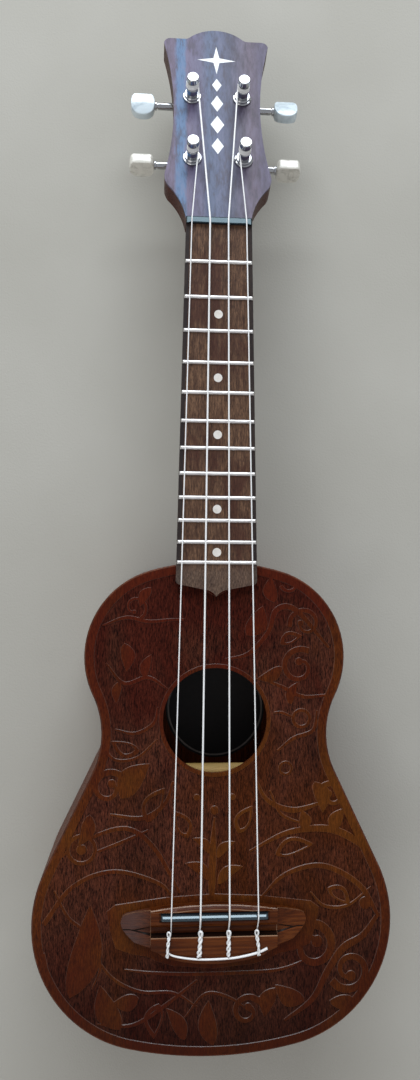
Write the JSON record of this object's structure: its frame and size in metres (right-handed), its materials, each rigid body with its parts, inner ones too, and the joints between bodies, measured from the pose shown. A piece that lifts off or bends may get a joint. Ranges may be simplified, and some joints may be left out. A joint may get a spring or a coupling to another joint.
{
  "type": "ukulele",
  "caption": "Soprano ukulele with an etched figure-eight body, tilted head, black nut and saddle, and geared tuners with white buttons.",
  "frame": {"origin": "middle of the whole instrument's footprint, on the plane of the body's back", "axes": "+Y from the tail of the body to the tip of the head, +X to the player's treble side (right when the strings face the viewer with the head up), +Z out of the soundboard"},
  "size_m": [0.1804, 0.5432, 0.072],
  "materials": {
    "etched_top": "laser-etched mahogany, rough dark ground with raised satin bands",
    "body_wood": "satin lacquered mahogany",
    "neck_wood": "satin lacquered mahogany",
    "brace_wood": "bare softwood",
    "label_card": "matte card with a pale border",
    "head_rosewood": "satin lacquered rosewood veneer",
    "black_plastic": "polished",
    "fretboard_wood": "bare oiled, fine straight grain",
    "fret_wire": "polished nickel silver",
    "marker_white": "polished pearl white",
    "bridge_rosewood": "oiled, low gloss",
    "nylon": "smooth translucent white",
    "chrome_plate": "bright plated",
    "gear_metal": "plain turned metal",
    "pearloid": "moulded white with a faint pearl swirl"
  },
  "bodies": {
    "root": {"soundboard": "etched_top", "back_plate": "body_wood", "left_side": "body_wood", "right_side": "body_wood", "top_linings": "brace_wood", "back_linings": "brace_wood", "neck_block": "brace_wood", "tail_block": "brace_wood", "upper_top_brace": "brace_wood", "lower_top_brace": "brace_wood", "fan_braces": "brace_wood", "bridge_patch": "brace_wood", "back_braces": "brace_wood", "blank_label": "label_card", "neck": "neck_wood", "head_veneer": "head_rosewood", "nut": "black_plastic", "saddle": "black_plastic", "fretboard": "fretboard_wood", "frets": "fret_wire", "position_markers": "marker_white", "bridge": "bridge_rosewood", "string_g": "nylon", "string_c": "nylon", "string_e": "nylon", "string_a": "nylon", "string_ties": "nylon", "tuner_screws": "chrome_plate", "tuner_plate_g": "chrome_plate", "post_bushing_g": "chrome_plate", "tuner_plate_c": "chrome_plate", "post_bushing_c": "chrome_plate", "tuner_plate_e": "chrome_plate", "post_bushing_e": "chrome_plate", "tuner_plate_a": "chrome_plate", "post_bushing_a": "chrome_plate"},
    "post_g": {"tuner_post_g": "chrome_plate", "tuner_gear_g": "gear_metal", "gear_screw_g": "gear_metal", "string_winding_g": "nylon"},
    "worm_g": {"tuner_worm_g": "chrome_plate", "tuner_button_g": "pearloid"},
    "post_c": {"tuner_post_c": "chrome_plate", "tuner_gear_c": "gear_metal", "gear_screw_c": "gear_metal", "string_winding_c": "nylon"},
    "worm_c": {"tuner_worm_c": "chrome_plate", "tuner_button_c": "pearloid"},
    "post_e": {"tuner_post_e": "chrome_plate", "tuner_gear_e": "gear_metal", "gear_screw_e": "gear_metal", "string_winding_e": "nylon"},
    "worm_e": {"tuner_worm_e": "chrome_plate", "tuner_button_e": "pearloid"},
    "post_a": {"tuner_post_a": "chrome_plate", "tuner_gear_a": "gear_metal", "gear_screw_a": "gear_metal", "string_winding_a": "nylon"},
    "worm_a": {"tuner_worm_a": "chrome_plate", "tuner_button_a": "pearloid"}
  },
  "joints": [
    {"name": "tuner_turn_g", "type": "hinge", "parent": "root", "child": "worm_g", "pos_m": [-0.0136, 0.19205, 0.03588], "axis": [1, 0, 0], "continuous": true},
    {"name": "post_turn_g", "type": "hinge", "parent": "root", "child": "post_g", "pos_m": [-0.0136, 0.18685, 0.05305], "axis": [0, 0.2419, 0.9703], "continuous": true, "deforming": ["string_g"]},
    {"name": "tuner_turn_c", "type": "hinge", "parent": "root", "child": "worm_c", "pos_m": [-0.0136, 0.23115, 0.02613], "axis": [1, 0, 0], "continuous": true},
    {"name": "post_turn_c", "type": "hinge", "parent": "root", "child": "post_c", "pos_m": [-0.0136, 0.22595, 0.0433], "axis": [0, 0.2419, 0.9703], "continuous": true, "deforming": ["string_c"]},
    {"name": "tuner_turn_e", "type": "hinge", "parent": "root", "child": "worm_e", "pos_m": [0.0136, 0.23115, 0.02613], "axis": [1, 0, 0], "continuous": true},
    {"name": "post_turn_e", "type": "hinge", "parent": "root", "child": "post_e", "pos_m": [0.0136, 0.22595, 0.0433], "axis": [0, 0.2419, 0.9703], "continuous": true, "deforming": ["string_e"]},
    {"name": "tuner_turn_a", "type": "hinge", "parent": "root", "child": "worm_a", "pos_m": [0.0136, 0.19205, 0.03588], "axis": [1, 0, 0], "continuous": true},
    {"name": "post_turn_a", "type": "hinge", "parent": "root", "child": "post_a", "pos_m": [0.0136, 0.18685, 0.05305], "axis": [0, 0.2419, 0.9703], "continuous": true, "deforming": ["string_a"]}
  ],
  "couplings": [
    {"joint": "post_turn_g", "follows": "tuner_turn_g", "ratio": 0.071429},
    {"joint": "post_turn_c", "follows": "tuner_turn_c", "ratio": 0.071429},
    {"joint": "post_turn_e", "follows": "tuner_turn_e", "ratio": 0.071429},
    {"joint": "post_turn_a", "follows": "tuner_turn_a", "ratio": 0.071429}
  ]
}
